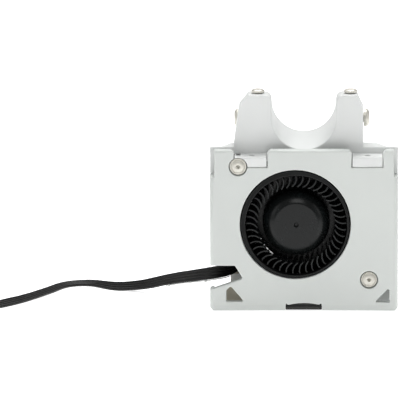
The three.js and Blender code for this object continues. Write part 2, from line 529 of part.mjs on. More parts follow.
const rearFan = group(carriage, 0, 0, FAN30_Z);
{
  const half = 15;
  let frame = solid(alongY([
    [-half + 1.5, -half], [half - 1.5, -half], [half, -half + 1.5], [half, half - 1.5],
    [half - 1.5, half], [-half + 1.5, half], [-half, half - 1.5], [-half, -half + 1.5],
  ], FAN30_D0, FAN30_D1, [circle(0, 0, 13.9, 28)]));
  for (const x of [-12, 12]) for (const z of [-12, 12])
    frame = cut(frame, solid(cylY(x, z, 1.6, 50, 70, 12)), box(Math.min(x, 1.25 * x), Math.max(x, 1.25 * x), FAN30_D0 + 2, FAN30_D1 - 2, Math.min(z, 1.25 * z), Math.max(z, 1.25 * z)));
  const arms = [0, 1, 2].map((i) => solid(new THREE.BoxGeometry(9.5, 1.4, 1.8).translate(9.6, FAN30_D1 - 0.7, 0).rotateY(i * 2 * Math.PI / 3 + 0.5)));
  const mount = solid(turnedY([[0, FAN30_D1 - 1.4], [1.7, FAN30_D1 - 1.4], [1.7, 61.4], [2.5, 61.4], [2.5, FAN30_D1 - 1.4], [6.4, FAN30_D1 - 1.4], [6.4, FAN30_D1], [0, FAN30_D1]], 24, 0, 0));
  place(rearFan, 'rear_fan_frame', join(frame, mount, ...arms), 'black');

  let rotor = solid(turnedY([
    [0, 59.2], [5.4, 59.2], [6.2, 60.0], [6.2, 66.6], [5.2, 66.6], [5.2, 60.3], [1.9, 60.3], [1.9, 61.0], [1.1, 61.0], [1.1, 60.1], [0, 60.1],
  ], 18, 0, 0));
  for (let i = 0; i < 7; i++) {
    const blade = new THREE.BoxGeometry(7.2, 0.8, 7.6, 1, 1, 1);
    blade.rotateX(0.72);
    blade.translate(9.6, 63.1, 0);
    blade.rotateY(i * 2 * Math.PI / 7);
    rotor = rotor.add(solid(blade));
  }
  rotor = rotor.intersect(join(solid(turnedY(ring(3, 13.3, 59.2, 66.6), 21, 0, 0)), solid(cylY(0, 0, 3.4, 59, 67, 20))));
  place(rearFan, 'rear_fan_rotor', rotor, 'black');
  place(rearFan, 'rear_fan_shaft', cylY(0, 0, 0.8, 60.4, 66.9, 12), 'steel');
  place(rearFan, 'rear_fan_coil', turnedY(ring(2.8, 4.7, 61.8, 65.8), 20, 0, 0), 'copper');
  const names = { '-12,-12': 'lower_left', '12,-12': 'lower_right', '-12,12': 'upper_left', '12,12': 'upper_right' };
  for (const x of [-12, 12]) for (const z of [-12, 12])
    fasten(rearFan, `rear_fan_screw_${names[`${x},${z}`]}`, panScrew(2.6, 1.5, 1.15, 12.0), [x, FAN30_D1 + GAP + 0.05, z], 'back', 'darksteel');
}

// ------------------------------------------------- cable board and its socket
{
  const board = cut(box(-18.7, -17.3, 22.5, 40.5, 4.5, 31.5),
    solid(cylX(33.0, 8.2, 1.6, -20, -15, 12)), solid(cylX(37.0, 28.0, 1.6, -20, -15, 12)));
  place(carriage, 'cable_board', board, 'pcb');
  const socket = cut(box(-22.2, -19.0, 22.4, 28.2, 9.8, 16.0), box(-21.6, -19.7, 21, 26.4, 10.5, 15.3));
  place(carriage, 'cable_socket', socket, 'socket');
  fasten(carriage, 'board_screw_front', panScrew(2.0, 1.1, 1.0, 4.6), [-17.0, 33.0, 8.2], 'right', 'steel');
  fasten(carriage, 'board_screw_back', panScrew(2.0, 1.1, 1.0, 4.6), [-17.0, 37.0, 28.0], 'right', 'steel');
}

// --------------------------------------------------------------------- cable
// flat four-core cable: out through the corner at the left, down to the
// surface, along it, then into a flat coil that ends in a connector
const COIL_X = -140.0;
const COIL_D = 30.0;
const CABLE_POINTS = [
  [-20.70, 21.95, 12.90], [-21.91, 18.51, 12.43], [-23.19, 15.08, 11.91], [-25.45, 12.21, 11.44], [-28.66, 10.45, 11.01],
  [-32.27, 9.98, 10.49], [-35.68, 11.14, 9.75], [-38.53, 13.33, 8.88], [-41.08, 15.86, 7.98], [-43.57, 18.44, 7.02],
  [-46.04, 21.01, 6.00], [-48.54, 23.52, 4.91], [-51.10, 25.97, 3.83], [-53.77, 28.34, 2.83], [-56.74, 30.39, 2.00],
  [-60.14, 31.73, 1.44], [-63.60, 33.00, 1.30], [-66.59, 35.16, 1.30], [-69.29, 37.70, 1.30], [-72.54, 39.42, 1.30],
  [-76.21, 39.54, 1.30], [-79.64, 38.21, 1.30], [-82.31, 35.67, 1.30], [-84.11, 32.43, 1.30], [-85.79, 29.13, 1.30],
  [-87.53, 25.85, 1.30], [-89.33, 22.62, 1.30], [-91.22, 19.43, 1.30], [-93.21, 16.30, 1.30], [-95.32, 13.26, 1.30],
  [-97.57, 10.32, 1.30], [-100.03, 7.54, 1.30], [-102.79, 5.08, 1.30], [-106.15, 3.58, 1.30], [-109.81, 3.05, 1.30],
  [-113.50, 2.87, 1.47], [-117.19, 2.82, 1.81], [-120.88, 2.86, 2.14], [-124.58, 2.92, 2.44], [-128.27, 2.92, 2.67],
];
{
  const path = new THREE.CatmullRomCurve3(CABLE_POINTS.map(([x, y, z]) => new THREE.Vector3(x, y, z)));
  const tube = new THREE.ExtrudeGeometry(shapeOf(circle(0, 0, 1.2, 8)), { steps: 44, extrudePath: path, bevelEnabled: false });
  place(carriage, 'ribbon_cable', tube, 'cable');
  place(carriage, 'ribbon_coil', turnedZ(ring(20.3, 28.0, 0.1, 5.5), 36, COIL_X, COIL_D), 'cable');
  let plug = box(-4.9, 4.9, -6.2, 6.2, 0, 5.75);
  plug = cut(plug, box(-6, 3.6, -5.3, 5.3, 1.0, 4.8));
  const mesh = place(carriage, 'cable_connector', plug, 'socket');
  mesh.position.set(COIL_X + 6.33, COIL_D + 6.32, 0.05);
  mesh.rotation.z = THREE.MathUtils.degToRad(135);
}

export default carriage;
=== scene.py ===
import json
import math
import random

import bmesh
import bpy
from mathutils import Matrix, Quaternion, Vector

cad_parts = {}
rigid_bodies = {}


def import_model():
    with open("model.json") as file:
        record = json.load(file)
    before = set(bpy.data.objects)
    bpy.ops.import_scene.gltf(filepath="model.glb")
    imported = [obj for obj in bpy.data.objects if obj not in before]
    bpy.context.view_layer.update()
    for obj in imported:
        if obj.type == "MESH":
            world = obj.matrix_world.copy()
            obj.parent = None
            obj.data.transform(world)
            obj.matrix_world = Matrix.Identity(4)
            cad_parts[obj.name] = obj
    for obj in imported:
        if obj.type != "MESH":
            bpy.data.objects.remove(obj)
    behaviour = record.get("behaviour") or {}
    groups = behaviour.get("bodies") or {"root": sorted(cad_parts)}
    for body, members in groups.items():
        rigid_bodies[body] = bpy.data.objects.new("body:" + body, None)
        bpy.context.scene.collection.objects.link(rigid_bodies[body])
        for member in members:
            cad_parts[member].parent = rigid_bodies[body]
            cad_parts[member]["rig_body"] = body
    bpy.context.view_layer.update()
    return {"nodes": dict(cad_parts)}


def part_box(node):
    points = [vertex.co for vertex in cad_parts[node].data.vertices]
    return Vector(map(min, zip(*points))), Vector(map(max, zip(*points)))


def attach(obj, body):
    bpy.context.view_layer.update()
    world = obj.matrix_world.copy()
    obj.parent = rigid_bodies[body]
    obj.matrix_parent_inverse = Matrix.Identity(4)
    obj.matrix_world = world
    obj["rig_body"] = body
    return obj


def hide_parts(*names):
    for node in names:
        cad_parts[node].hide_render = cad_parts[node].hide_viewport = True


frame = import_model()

scene = bpy.context.scene
MM = 0.001


def node_mid(name):
    lo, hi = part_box(name)
    return (lo + hi) / 2


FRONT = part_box("blower_casing")[0].y - 0.3 * MM      # face of the front cover


def at(x, d, z):
    """A point given as x, depth behind the cover's face and height, all in mm."""
    return Vector((x * MM, FRONT + d * MM, z * MM))


# ------------------------------------------------------------------- camera
DIST = 2.250
ELEV = math.radians(11.7)
PX_PER_M = 3010.0
aim = at(0, 0, 37.7)
cam_data = bpy.data.cameras.new("camera")
cam = bpy.data.objects.new("camera", cam_data)
scene.collection.objects.link(cam)
cam.location = aim + DIST * Vector((0, -math.cos(ELEV), math.sin(ELEV)))
cam_data.sensor_width = 36
cam_data.lens = 36 * PX_PER_M * DIST / 400
turn = math.atan(104 / (PX_PER_M * DIST))
cam.rotation_mode = "QUATERNION"
tilt = Quaternion((1, 0, 0), math.pi / 2 - ELEV)
cam.rotation_quaternion = tilt @ Quaternion((0, 1, 0), turn)
cam_data.clip_start, cam_data.clip_end = 0.1, 20
scene.camera = cam


# ---------------------------------------------------------------- materials
def add(tree, kind, **values):
    n = tree.nodes.new(kind)
    for k, v in values.items():
        setattr(n, k, v)
    return n


def material(name, color, rough, metal=0.0, spread=0.03, grain=900.0, bump=0.05, depth=0.00004,
             rough_var=0.06, edge=None, edge_highlight_amount=0.5, tint=None, tint_scale=60.0, specular=0.5, coat=0.0,
             coat_rough=0.2, stretch=(1, 1, 1), crease_darkening=0.0):
    m = bpy.data.materials.new(name)
    m.use_nodes = True
    t = m.node_tree
    t.nodes.clear()
    out = add(t, "ShaderNodeOutputMaterial")
    p = add(t, "ShaderNodeBsdfPrincipled")
    t.links.new(p.outputs[0], out.inputs[0])
    p.inputs["Metallic"].default_value = metal
    p.inputs["Specular IOR Level"].default_value = specular
    p.inputs["Coat Weight"].default_value = coat
    p.inputs["Coat Roughness"].default_value = coat_rough
    co = add(t, "ShaderNodeTexCoord")
    mp = add(t, "ShaderNodeMapping")
    mp.inputs["Scale"].default_value = stretch
    t.links.new(co.outputs["Object"], mp.inputs["Vector"])
    fine = add(t, "ShaderNodeTexNoise")
    fine.inputs["Scale"].default_value = grain
    fine.inputs["Detail"].default_value = 5
    fine.inputs["Roughness"].default_value = 0.6
    wide = add(t, "ShaderNodeTexNoise")
    wide.inputs["Scale"].default_value = tint_scale
    wide.inputs["Detail"].default_value = 3
    for n in (fine, wide):
        t.links.new(mp.outputs[0], n.inputs["Vector"])
    base = tuple(color) + (1,)
    second = tuple(tint) + (1,) if tint else tuple(max(0, c * (1 - 2 * spread)) for c in color) + (1,)
    blend = add(t, "ShaderNodeMix", data_type="RGBA")
    ramp = add(t, "ShaderNodeMapRange")
    ramp.inputs["From Min"].default_value = 0.38
    ramp.inputs["From Max"].default_value = 0.68
    t.links.new(wide.outputs["Fac"], ramp.inputs["Value"])
    t.links.new(ramp.outputs[0], blend.inputs["Factor"])
    blend.inputs["A"].default_value = base
    blend.inputs["B"].default_value = second
    speck = add(t, "ShaderNodeMix", data_type="RGBA", blend_type="MULTIPLY")
    s_ramp = add(t, "ShaderNodeMapRange")
    s_ramp.inputs["To Min"].default_value = 1 - spread
    s_ramp.inputs["To Max"].default_value = 1 + spread
    t.links.new(fine.outputs["Fac"], s_ramp.inputs["Value"])
    speck.inputs["Factor"].default_value = 1.0
    t.links.new(blend.outputs["Result"], speck.inputs["A"])
    t.links.new(s_ramp.outputs[0], speck.inputs["B"])
    last = speck.outputs["Result"]
    geo = add(t, "ShaderNodeNewGeometry")
    # painted highlight: where the bevel-rounded normal turns away from the true normal, the colour is lightened toward
    # the edge colour, standing for light caught on rounded edges
    if edge:
        bev = add(t, "ShaderNodeBevel", samples=4)
        bev.inputs["Radius"].default_value = 0.3 * MM
        dot = add(t, "ShaderNodeVectorMath", operation="DOT_PRODUCT")
        t.links.new(bev.outputs[0], dot.inputs[0])
        t.links.new(geo.outputs["Normal"], dot.inputs[1])
        e_ramp = add(t, "ShaderNodeMapRange")
        e_ramp.inputs["From Min"].default_value = 0.995
        e_ramp.inputs["From Max"].default_value = 0.90
        e_ramp.inputs["To Max"].default_value = edge_highlight_amount
        t.links.new(dot.outputs["Value"], e_ramp.inputs["Value"])
        edge_highlight_mix = add(t, "ShaderNodeMix", data_type="RGBA")
        t.links.new(e_ramp.outputs[0], edge_highlight_mix.inputs["Factor"])
        t.links.new(last, edge_highlight_mix.inputs["A"])
        edge_highlight_mix.inputs["B"].default_value = tuple(edge) + (1,)
        last = edge_highlight_mix.outputs["Result"]
    # darker in concave creases: low pointiness multiplies the colour toward a warm grey
    if crease_darkening:
        d_ramp = add(t, "ShaderNodeMapRange")
        d_ramp.inputs["From Min"].default_value = 0.49
        d_ramp.inputs["From Max"].default_value = 0.42
        d_ramp.inputs["To Max"].default_value = crease_darkening
        t.links.new(geo.outputs["Pointiness"], d_ramp.inputs["Value"])
        crease_mix = add(t, "ShaderNodeMix", data_type="RGBA", blend_type="MULTIPLY")
        t.links.new(d_ramp.outputs[0], crease_mix.inputs["Factor"])
        t.links.new(last, crease_mix.inputs["A"])
        crease_mix.inputs["B"].default_value = (0.55, 0.52, 0.47, 1)
        last = crease_mix.outputs["Result"]
    t.links.new(last, p.inputs["Base Color"])
    r_ramp = add(t, "ShaderNodeMapRange")
    r_ramp.inputs["To Min"].default_value = max(0.05, rough - rough_var)
    r_ramp.inputs["To Max"].default_value = min(1, rough + rough_var)
    t.links.new(wide.outputs["Fac"], r_ramp.inputs["Value"])
    t.links.new(r_ramp.outputs[0], p.inputs["Roughness"])
    b = add(t, "ShaderNodeBump")
    b.inputs["Strength"].default_value = bump
    b.inputs["Distance"].default_value = depth
    t.links.new(fine.outputs["Fac"], b.inputs["Height"])
    t.links.new(b.outputs[0], p.inputs["Normal"])
    return m


# the edge colour of each material below is a painted highlight laid along its rounded edges
M = {}
M["cover"] = material("cover_white", (0.635, 0.662, 0.640), 0.42, spread=0.012, grain=2600, bump=0.10, depth=0.00003,
                      edge=(0.86, 0.88, 0.86), edge_highlight_amount=0.75, tint=(0.618, 0.644, 0.624), tint_scale=45, specular=0.45)
M["body"] = material("body_white", (0.745, 0.76, 0.75), 0.44, spread=0.012, grain=2600, bump=0.10, depth=0.00003,
                     edge=(0.88, 0.90, 0.885), edge_highlight_amount=0.7, tint=(0.73, 0.745, 0.735), tint_scale=45, specular=0.45)
# painted shade: brownish grey standing for the white body's own walls lying in shade behind the triangular windows
M["inside"] = material("body_inside", (0.46, 0.43, 0.355), 0.6, spread=0.05, grain=1500, bump=0.15,
                       tint=(0.36, 0.33, 0.26), tint_scale=180, specular=0.35)
M["fan"] = material("fan_black", (0.0062, 0.0068, 0.0066), 0.42, spread=0.10, grain=2200, bump=0.16, depth=0.00003,
                    edge=(0.09, 0.092, 0.092), edge_highlight_amount=0.5, tint=(0.0100, 0.0105, 0.0105), tint_scale=160, specular=0.12)
M["impeller"] = material("impeller_black", (0.0050, 0.0057, 0.0057), 0.26, spread=0.16, grain=3600, bump=0.30, depth=0.00003,
                         edge=(0.055, 0.058, 0.058), edge_highlight_amount=0.5, tint=(0.0065, 0.0082, 0.0084), tint_scale=220, specular=0.24)
M["duct"] = material("duct_black", (0.022, 0.022, 0.021), 0.6, spread=0.10, grain=1600, bump=0.2,
                     edge=(0.07, 0.07, 0.068), tint=(0.03, 0.03, 0.028), tint_scale=120)
M["nickel"] = material("nickel_steel", (0.66, 0.645, 0.585), 0.42, metal=0.55, spread=0.05, grain=1800, bump=0.10,
                       edge=(0.85, 0.83, 0.78), edge_highlight_amount=0.5, tint=(0.60, 0.58, 0.52), tint_scale=500, rough_var=0.10)
M["darksteel"] = material("dark_steel", (0.11, 0.105, 0.10), 0.42, metal=1.0, spread=0.08, grain=1800, bump=0.10,
                          edge=(0.30, 0.29, 0.28), edge_highlight_amount=0.6, tint=(0.08, 0.078, 0.075), tint_scale=400)
M["shaft"] = material("shaft_steel", (0.62, 0.62, 0.63), 0.22, metal=1.0, spread=0.03, grain=3000, bump=0.08,
                      tint=(0.52, 0.52, 0.53), tint_scale=600, stretch=(1, 0.1, 1))
M["bronze"] = material("bronze", (0.52, 0.33, 0.17), 0.4, metal=1.0, spread=0.08, grain=4000, bump=0.2,
                       edge=(0.75, 0.52, 0.3), tint=(0.42, 0.27, 0.14), tint_scale=500)
M["brass"] = material("brass", (0.72, 0.52, 0.22), 0.28, metal=1.0, spread=0.05, grain=2500, bump=0.08,
                      edge=(0.90, 0.72, 0.38), tint=(0.58, 0.41, 0.17), tint_scale=400, stretch=(1, 1, 3))
M["copper"] = material("copper_winding", (0.55, 0.22, 0.09), 0.35, metal=0.7, spread=0.10, grain=900, bump=0.9, depth=0.0001,
                       tint=(0.36, 0.13, 0.05), tint_scale=900, stretch=(0.2, 4.5, 0.2))
M["alu"] = material("bare_aluminium", (0.66, 0.67, 0.68), 0.34, metal=1.0, spread=0.05, grain=1400, bump=0.12,
                    edge=(0.88, 0.89, 0.9), tint=(0.56, 0.57, 0.59), tint_scale=250, stretch=(1, 1, 5))
M["pcb"] = material("circuit_board", (0.028, 0.14, 0.065), 0.42, spread=0.05, grain=2200, bump=0.12,
                    edge=(0.18, 0.22, 0.10), tint=(0.020, 0.105, 0.048), tint_scale=500, coat=0.4)
M["silicone"] = material("silicone", (0.030, 0.115, 0.29), 0.7, spread=0.06, grain=1500, bump=0.25,
                         edge=(0.10, 0.22, 0.42), tint=(0.022, 0.09, 0.24), tint_scale=160, crease_darkening=0.5)
M["liner"] = material("white_liner", (0.80, 0.80, 0.77), 0.32, spread=0.02, grain=1500, bump=0.05,
                      tint=(0.74, 0.74, 0.70), tint_scale=200)
M["collet"] = material("collet_plastic", (0.02, 0.02, 0.021), 0.45, spread=0.08, grain=1800, bump=0.15,
                       edge=(0.09, 0.09, 0.09), tint=(0.027, 0.027, 0.028), tint_scale=300)
M["socket"] = material("connector_plastic", (0.73, 0.70, 0.60), 0.48, spread=0.03, grain=1800, bump=0.12,
                       edge=(0.85, 0.83, 0.75), tint=(0.66, 0.63, 0.54), tint_scale=180)
M["cable"] = material("cable_jacket", (0.0105, 0.0105, 0.0105), 0.40, spread=0.10, grain=1500, bump=0.22, depth=0.00004,
                      edge=(0.10, 0.10, 0.10), edge_highlight_amount=0.22, tint=(0.0125, 0.0125, 0.012), tint_scale=110, specular=0.22)
M["tie"] = material("tie_nylon", (0.024, 0.024, 0.024), 0.45, spread=0.08, grain=2400, bump=0.3,
                    edge=(0.08, 0.08, 0.08), tint=(0.032, 0.032, 0.032), tint_scale=300)
M["pin"] = material("contact_pin", (0.80, 0.66, 0.38), 0.28, metal=1.0, spread=0.05, grain=3000, bump=0.1,
                    tint=(0.68, 0.55, 0.32), tint_scale=700)
M["wire"] = material("bare_wire", (0.50, 0.51, 0.50), 0.45, spread=0.06, grain=3000, bump=0.2,
                     tint=(0.40, 0.41, 0.40), tint_scale=500)
# painted highlight: the white of the glint slivers at the hub
M["grease"] = material("painted_glint_white", (0.86, 0.87, 0.86), 0.30, spread=0.03, grain=3000, bump=0.3,
                       tint=(0.78, 0.79, 0.78), tint_scale=600)


# ------------------------------------------------------------ mesh helpers
def obj_from(bm, name, mats, smooth_deg=38, rounded=None):
    bmesh.ops.recalc_face_normals(bm, faces=bm.faces)
    bm.normal_update()
    for f in bm.faces:
        f.smooth = True
    if rounded is not None:
        thick = {f: 2000 * f.calc_area() / max(1e-9, f.calc_perimeter()) for f in bm.faces}
        for f in bm.faces:
            if thick[f] > 0.55:
                f.smooth = any(thick[g] > 0.45 * thick[f] and math.radians(0.8) < e.calc_face_angle(0) < math.radians(26)
                               for e in f.edges if e.is_manifold for g in e.link_faces if g is not f)
    for e in bm.edges:
        if e.is_manifold:
            e.smooth = e.calc_face_angle(0) < math.radians(smooth_deg)
    me = bpy.data.meshes.new(name)
    bm.to_mesh(me)
    bm.free()
    o = bpy.data.objects.new(name, me)
    scene.collection.objects.link(o)
    for m in mats:
        me.materials.append(m)
    if rounded is None:
        w = o.modifiers.new("normals", "WEIGHTED_NORMAL")
        w.keep_sharp = True
        w.weight = 60
    return o


def crowded(e):
    """Edges beside the upper screw's recess, too close together to be rounded."""
    m = (e.verts[0].co + e.verts[1].co) / 2 / MM
    return -24.3 < m.x < -20.3 and 51.0 < m.z < 54.8 and m.y - FRONT / MM < 6.4


def soften(node, mats, width=0.2, seg=2, passes=(), weld=0.03, least=28, paint=None, body="carriage"):
    """The CAD node's own form with its edges rounded, as a piece that replaces it."""
    bm = bmesh.new()
    bm.from_mesh(frame["nodes"][node].data)
    bmesh.ops.remove_doubles(bm, verts=bm.verts, dist=2e-6)
    bmesh.ops.dissolve_limit(bm, angle_limit=math.radians(0.6), verts=bm.verts, edges=bm.edges)
    bmesh.ops.dissolve_degenerate(bm, dist=weld * MM, edges=bm.edges)
    rounded = set()
    for pick, w, s in passes:
        edges = [e for e in bm.edges if e.is_manifold and e.calc_face_angle(0) > math.radians(least) and pick(e)]
        if edges:
            rounded.update(bmesh.ops.bevel(bm, geom=edges, offset=w * MM, offset_type="OFFSET", segments=s, profile=0.5,
                                           affect="EDGES", clamp_overlap=False)["faces"])
    if width:
        edges = [e for e in bm.edges if e.is_manifold and e.calc_face_angle(0) > math.radians(least)
                 and e.calc_length() > 0.12 * MM and not crowded(e)]
        if edges:
            rounded = {f for f in rounded if f.is_valid}
            rounded.update(bmesh.ops.bevel(bm, geom=edges, offset=width * MM, offset_type="OFFSET", segments=seg, profile=0.5,
                                           affect="EDGES", clamp_overlap=False)["faces"])
    if paint:
        for f in bm.faces:
            f.material_index = paint(f)
    o = obj_from(bm, node + "_finish", mats, rounded={f for f in rounded if f.is_valid})
    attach(o, body)
    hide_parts(node)
    return o


def rings(bm, loops, close_ends=True):
    """Skins a list of equally long closed loops of points; a loop of one point is a pole."""
    made = [[bm.verts.new(p) for p in loop] for loop in loops]
    for a, b in zip(made, made[1:]):
        n = max(len(a), len(b))
        for i in range(n):
            j = (i + 1) % n
            if len(a) == 1:
                bm.faces.new((a[0], b[i], b[j]))
            elif len(b) == 1:
                bm.faces.new((a[i], a[j], b[0]))
            else:
                bm.faces.new((a[i], a[j], b[j], b[i]))
    if close_ends:
        for end in (made[0], made[-1]):
            if len(end) > 2:
                bm.faces.new(end)
    return made


def lathe(profile, n, frame_to, shape=None):
    """Loops of a turned profile [(radius, height)]; frame_to maps (x, y, height) to the row frame."""
    out = []
    for k, (r, h) in enumerate(profile):
        if r < 1e-6:
            out.append([frame_to(0, 0, h)])
        else:
            out.append([frame_to((shape(k, a) if shape else 1) * r * math.cos(a), (shape(k, a) if shape else 1) * r * math.sin(a), h)
                        for a in (2 * math.pi * i / n for i in range(n))])
    return out


def body_of(node):
    return frame["nodes"][node]["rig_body"]


AXES = {"front": (Vector((1, 0, 0)), Vector((0, 0, 1)), Vector((0, -1, 0))),
        "back": (Vector((-1, 0, 0)), Vector((0, 0, 1)), Vector((0, 1, 0))),
        "up": (Vector((1, 0, 0)), Vector((0, 1, 0)), Vector((0, 0, 1))),
        "right": (Vector((0, 1, 0)), Vector((0, 0, 1)), Vector((1, 0, 0))),
        "left": (Vector((0, -1, 0)), Vector((0, 0, 1)), Vector((-1, 0, 0)))}


def screw(node, facing, head_r, head_h, shank_r, recess, recess_r, mat, dome=0.35, flange=0):
    """A screw with a rounded head and a real drive recess, in place of the CAD node."""
    u, v, w = AXES[facing]
    lo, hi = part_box(node)
    mid = (lo + hi) / 2
    top = max(w.dot(lo), w.dot(hi))
    low = min(w.dot(lo), w.dot(hi))
    base = mid - w * w.dot(mid)
    to = lambda x, y, h: base + u * (x * MM) + v * (y * MM) + w * (top + h * MM)
    length = (top - low) / MM
    n = 48
    prof = [(0, -length), (shank_r * 0.8, -length), (shank_r, -length + 0.4)]
    marks = ["", "", ""]
    turns = max(3, int((length - head_h - 0.6) / 0.5))
    for i in range(turns):
        h0 = -length + 0.4 + (length - head_h - 0.6) * i / turns
        prof += [(shank_r, h0 + 0.02), (shank_r * 0.86, h0 + 0.25 * (length - head_h) / turns)]
        marks += ["", ""]
    prof += [(shank_r, -head_h - 0.05), (shank_r, -head_h), (head_r - 0.15, -head_h), (head_r, -head_h + 0.15),
             (head_r, -head_h * (1 - dome) * 0.72), (head_r * 0.94, -head_h * 0.34), (head_r * 0.80, -head_h * 0.13), (head_r * 0.62, -0.03),
             (recess_r * 1.12, 0.0), (recess_r, -0.09), (recess_r * 0.9, -min(1.1, head_h * 0.85)), (0, -min(1.3, head_h * 0.95))]
    marks += [""] * 9 + ["r", "r", ""]
    if flange:
        k = prof.index((head_r - 0.15, -head_h))
        prof[k:k + 2] = [(flange - 0.05, -head_h), (flange, -head_h + 0.05), (flange, -0.50), (flange - 0.05, -0.45), (head_r, -0.42)]
        prof.remove((head_r, -head_h * (1 - dome) * 0.72))
        marks[k:k] = ["", ""]

    def shape(k, a):
        if marks[k] != "r":
            return 1.0
        if recess == "hex":
            s = math.pi / 3
            b = (a % s) - s / 2
            return math.cos(s / 2) / math.cos(b)
        if recess == "cross":
            c = abs(math.cos(2 * a))
            return 0.42 + 0.58 * c ** 3
        return 0.80 + 0.20 * math.cos(6 * a)
    bm = bmesh.new()
    rings(bm, lathe(prof, n, to, shape))
    o = obj_from(bm, node + "_finish", [mat], 30)
    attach(o, body_of(node))
    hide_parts(node)
    return o


# --------------------------------------------------------------------- cable
ROUTE = [
    (-20.70, 21.98, 12.89), (-21.59, 19.53, 12.57), (-22.38, 17.05, 12.21), (-23.41, 14.66, 11.85), (-25.00, 12.61, 11.51), (-27.12, 11.10, 11.21),
    (-29.56, 10.19, 10.90), (-32.14, 9.97, 10.52), (-34.63, 10.60, 10.01), (-36.83, 11.91, 9.42), (-38.78, 13.56, 8.80), (-40.59, 15.36, 8.16),
    (-42.36, 17.18, 7.50), (-44.11, 19.01, 6.80), (-45.87, 20.83, 6.07), (-47.63, 22.62, 5.31), (-49.42, 24.38, 4.53), (-51.25, 26.11, 3.77),
    (-53.13, 27.80, 3.05), (-55.13, 29.38, 2.41), (-57.34, 30.70, 1.87), (-59.77, 31.61, 1.48), (-62.26, 32.41, 1.24), (-64.60, 33.59, 1.10),
    (-66.66, 35.22, 1.02), (-68.54, 37.05, 0.94), (-70.63, 38.64, 0.87), (-73.08, 39.55, 0.81), (-75.70, 39.62, 0.76), (-78.23, 38.94, 0.71),
    (-80.49, 37.61, 0.67), (-82.28, 35.70, 0.65), (-83.61, 33.43, 0.65), (-84.79, 31.09, 0.67), (-85.99, 28.75, 0.69), (-87.22, 26.42, 0.72),
    (-88.48, 24.12, 0.76), (-89.78, 21.83, 0.79), (-91.13, 19.58, 0.83), (-92.52, 17.35, 0.87), (-93.98, 15.16, 0.90), (-95.49, 13.01, 0.94),
    (-97.09, 10.92, 0.97), (-98.77, 8.90, 0.98), (-100.57, 6.98, 0.96), (-102.54, 5.25, 0.93), (-104.84, 3.99, 0.94), (-107.38, 3.33, 1.04),
    (-109.98, 3.04, 1.20), (-112.60, 2.90, 1.40), (-115.22, 2.83, 1.62), (-117.84, 2.83, 1.86), (-120.45, 2.85, 2.10), (-123.07, 2.90, 2.33),
    (-125.69, 2.93, 2.52), (-128.32, 2.92, 2.67), (-130.95, 2.89, 2.78), (-133.57, 2.86, 2.84), (-138.87, 2.94, 2.90), (-144.14, 3.42, 2.90),
    (-149.25, 4.73, 2.90), (-153.99, 7.08, 2.90), (-158.16, 10.32, 2.90), (-161.63, 14.31, 2.90), (-164.26, 18.90, 2.90), (-165.92, 23.92, 2.90),
    (-166.56, 29.16, 2.90), (-166.12, 34.43, 2.90), (-164.65, 39.51, 2.90), (-162.23, 44.20, 2.90), (-158.93, 48.33, 2.90), (-154.84, 51.68, 2.90),
    (-150.17, 54.15, 2.90), (-145.10, 55.65, 2.90), (-139.84, 56.11, 2.90), (-134.59, 55.47, 2.90), (-129.58, 53.79, 2.90), (-125.00, 51.15, 2.90),
    (-121.06, 47.63, 2.90), (-117.93, 43.37, 2.90), (-115.73, 38.56, 2.90), (-114.53, 33.41, 2.90), (-114.43, 28.13, 2.90), (-115.43, 22.94, 2.90),
    (-117.46, 18.06, 2.90), (-120.44, 13.70, 2.90), (-124.27, 10.06, 2.90), (-128.78, 7.30, 2.90), (-133.76, 5.52, 2.90), (-138.99, 4.79, 2.90),
    (-144.26, 5.21, 2.90), (-149.32, 6.73, 2.90), (-153.97, 9.24, 2.90), (-157.99, 12.67, 2.90), (-161.19, 16.88, 2.90), (-163.42, 21.66, 2.90),
    (-164.58, 26.82, 2.90), (-164.62, 32.10, 2.90), (-163.56, 37.28, 2.90), (-161.43, 42.12, 2.90), (-158.29, 46.36, 2.90), (-154.31, 49.84, 2.90),
    (-149.69, 52.42, 2.90), (-144.63, 53.93, 2.90), (-139.36, 54.27, 2.90), (-134.13, 53.49, 2.90), (-129.19, 51.62, 2.90), (-124.78, 48.71, 2.90),
    (-121.12, 44.90, 2.90), (-118.38, 40.38, 2.90), (-116.71, 35.37, 2.90), (-116.16, 30.11, 2.90), (-116.76, 24.87, 2.90), (-118.54, 19.89, 2.90),
    (-121.37, 15.43, 2.90), (-125.10, 11.69, 2.90), (-129.58, 8.89, 2.90), (-134.58, 7.18, 2.90), (-139.83, 6.61, 2.90), (-145.08, 7.22, 2.90),
    (-150.05, 9.00, 2.90), (-154.49, 11.86, 2.90), (-158.16, 15.66, 2.90), (-160.87, 20.20, 2.90), (-162.51, 25.22, 2.90), (-162.95, 30.48, 2.90),
    (-162.15, 35.70, 2.90), (-160.18, 40.61, 2.90), (-157.17, 44.94, 2.90), (-153.21, 48.44, 2.90), (-148.54, 50.92, 2.90), (-143.44, 52.27, 2.90),
    (-138.16, 52.41, 2.90), (-132.99, 51.30, 2.90), (-128.24, 49.00, 2.90), (-124.16, 45.64, 2.90), (-120.97, 41.43, 2.90), (-118.85, 36.59, 2.90),
    (-117.98, 31.39, 2.90), (-118.36, 26.12, 2.90), (-119.95, 21.08, 2.90), (-122.73, 16.59, 2.90), (-126.51, 12.91, 2.90), (-131.06, 10.22, 2.90),
    (-136.11, 8.69, 2.90), (-141.39, 8.43, 2.90), (-146.57, 9.45, 2.90), (-151.34, 11.71, 2.90), (-155.37, 15.12, 2.90), (-158.34, 19.48, 2.90),
    (-159.98, 24.50, 2.90), (-160.13, 29.77, 2.90), (-158.75, 34.86, 2.90), (-155.80, 39.23, 2.90), (-151.58, 42.38, 2.90), (-146.52, 43.79, 2.90),
    (-141.34, 42.92, 2.90), (-137.14, 39.78, 2.93)
]
CORE_R = 0.535


